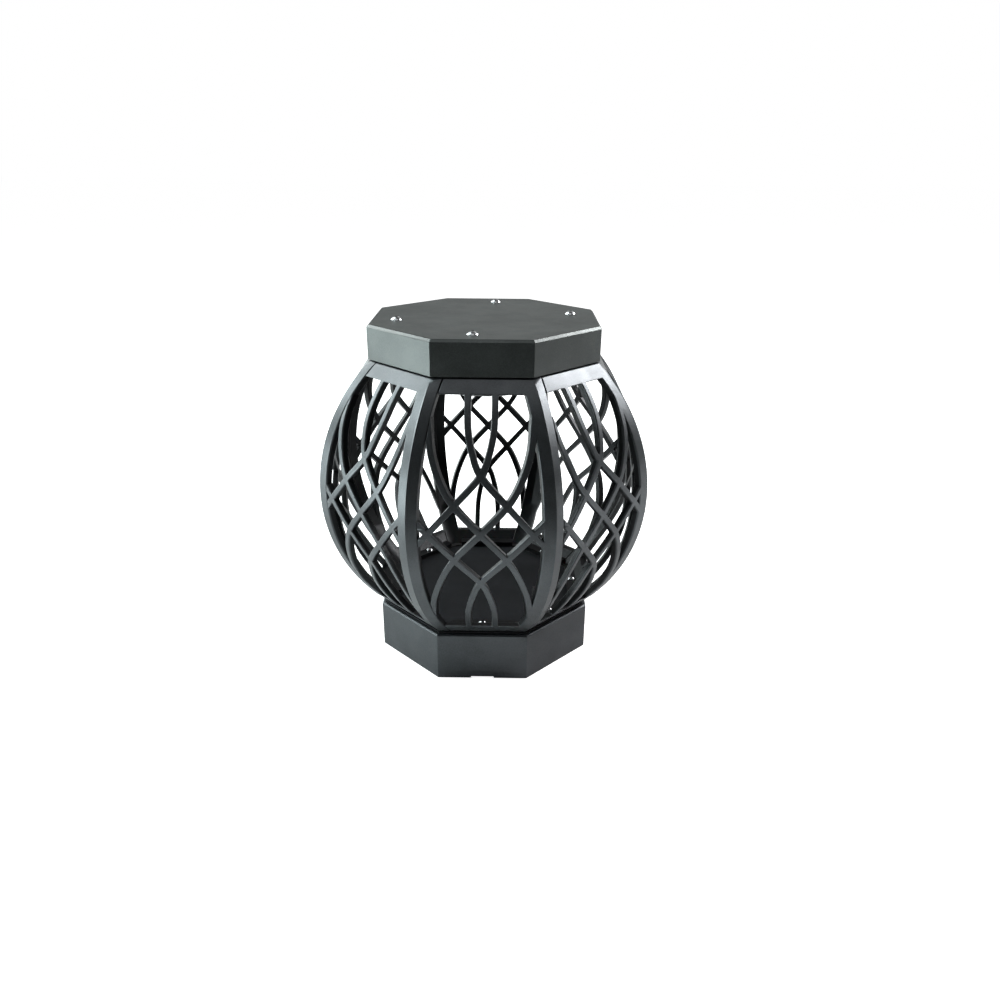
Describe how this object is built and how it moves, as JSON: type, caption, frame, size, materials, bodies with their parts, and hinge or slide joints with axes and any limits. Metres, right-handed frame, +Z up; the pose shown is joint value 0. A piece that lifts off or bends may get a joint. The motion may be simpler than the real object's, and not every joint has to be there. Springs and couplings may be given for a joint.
{
  "type": "garden column light",
  "caption": "Eight-sided pillar-top lantern with a bulging cast lattice cage, a flat screwed cap and a plain base, lit from under the cap.",
  "frame": {"origin": "centre of the underside of the base, on the pillar's top", "axes": "+Z up along the lantern's axis, the front face and its drain notch look along -Y, +X is to the right seen from the front"},
  "size_m": [0.2772, 0.2772, 0.3025],
  "materials": {
    "base_paint": "satin powder coat, fine grain",
    "panel_paint": "satin powder coat on sand-cast aluminium",
    "cap_paint": "satin powder coat, fine grain",
    "ring_paint": "satin powder coat",
    "floor_black": "matt black",
    "seal_rubber": "matt moulded rubber",
    "stainless": "polished heads, turned shanks",
    "brass": "turned",
    "tray_aluminium": "spun, bare",
    "ring_aluminium": "turned, bare",
    "board_white": "white solder mask",
    "chip_phosphor": "phosphor under clear resin",
    "opal": "opal polycarbonate",
    "driver_white": "moulded",
    "terminal_ivory": "moulded",
    "box_grey": "moulded, fine texture",
    "gland_black": "moulded nylon",
    "lead_black": "extruded sheath",
    "wire_blue": "extruded",
    "wire_red": "extruded"
  },
  "bodies": {
    "lantern": {"base_shell": "base_paint", "foot_posts": "ring_aluminium", "base_grommet": "seal_rubber", "earth_stud": "brass", "earth_nuts": "brass", "junction_box": "box_grey", "junction_lid": "box_grey", "junction_terminals": "terminal_ivory", "junction_screws": "stainless", "inlet_gland": "gland_black", "outlet_gland": "gland_black", "floor_plate": "floor_black", "floor_gasket": "seal_rubber", "floor_grommet": "seal_rubber", "foot_screws": "stainless", "top_ring": "ring_paint", "ring_screws": "stainless", "gear_tray": "tray_aluminium", "tray_screws": "stainless", "tray_gland": "gland_black", "terminal_block": "terminal_ivory", "driver": "driver_white", "driver_screws": "stainless", "link_wires": "wire_blue", "led_wires": "wire_red", "led_board": "board_white", "led_chips": "chip_phosphor", "board_screws": "stainless", "diffuser": "opal", "diffuser_gasket": "seal_rubber", "retaining_ring": "ring_aluminium", "retaining_screws": "stainless", "supply_lead": "lead_black", "lead_clips": "gland_black", "side_panel_1": "panel_paint", "side_panel_2": "panel_paint", "side_panel_3": "panel_paint", "side_panel_4": "panel_paint", "side_panel_5": "panel_paint", "side_panel_6": "panel_paint", "side_panel_7": "panel_paint", "side_panel_8": "panel_paint"},
    "cap": {"cap_shell": "cap_paint", "cap_sleeves": "ring_aluminium", "cap_gasket": "seal_rubber", "cap_screws": "stainless", "cap_washers": "seal_rubber"}
  },
  "joints": [
    {"name": "cap_lift", "type": "slide", "parent": "lantern", "child": "cap", "axis": [0, 0, 1], "range_m": [0, 0.08]}
  ]
}
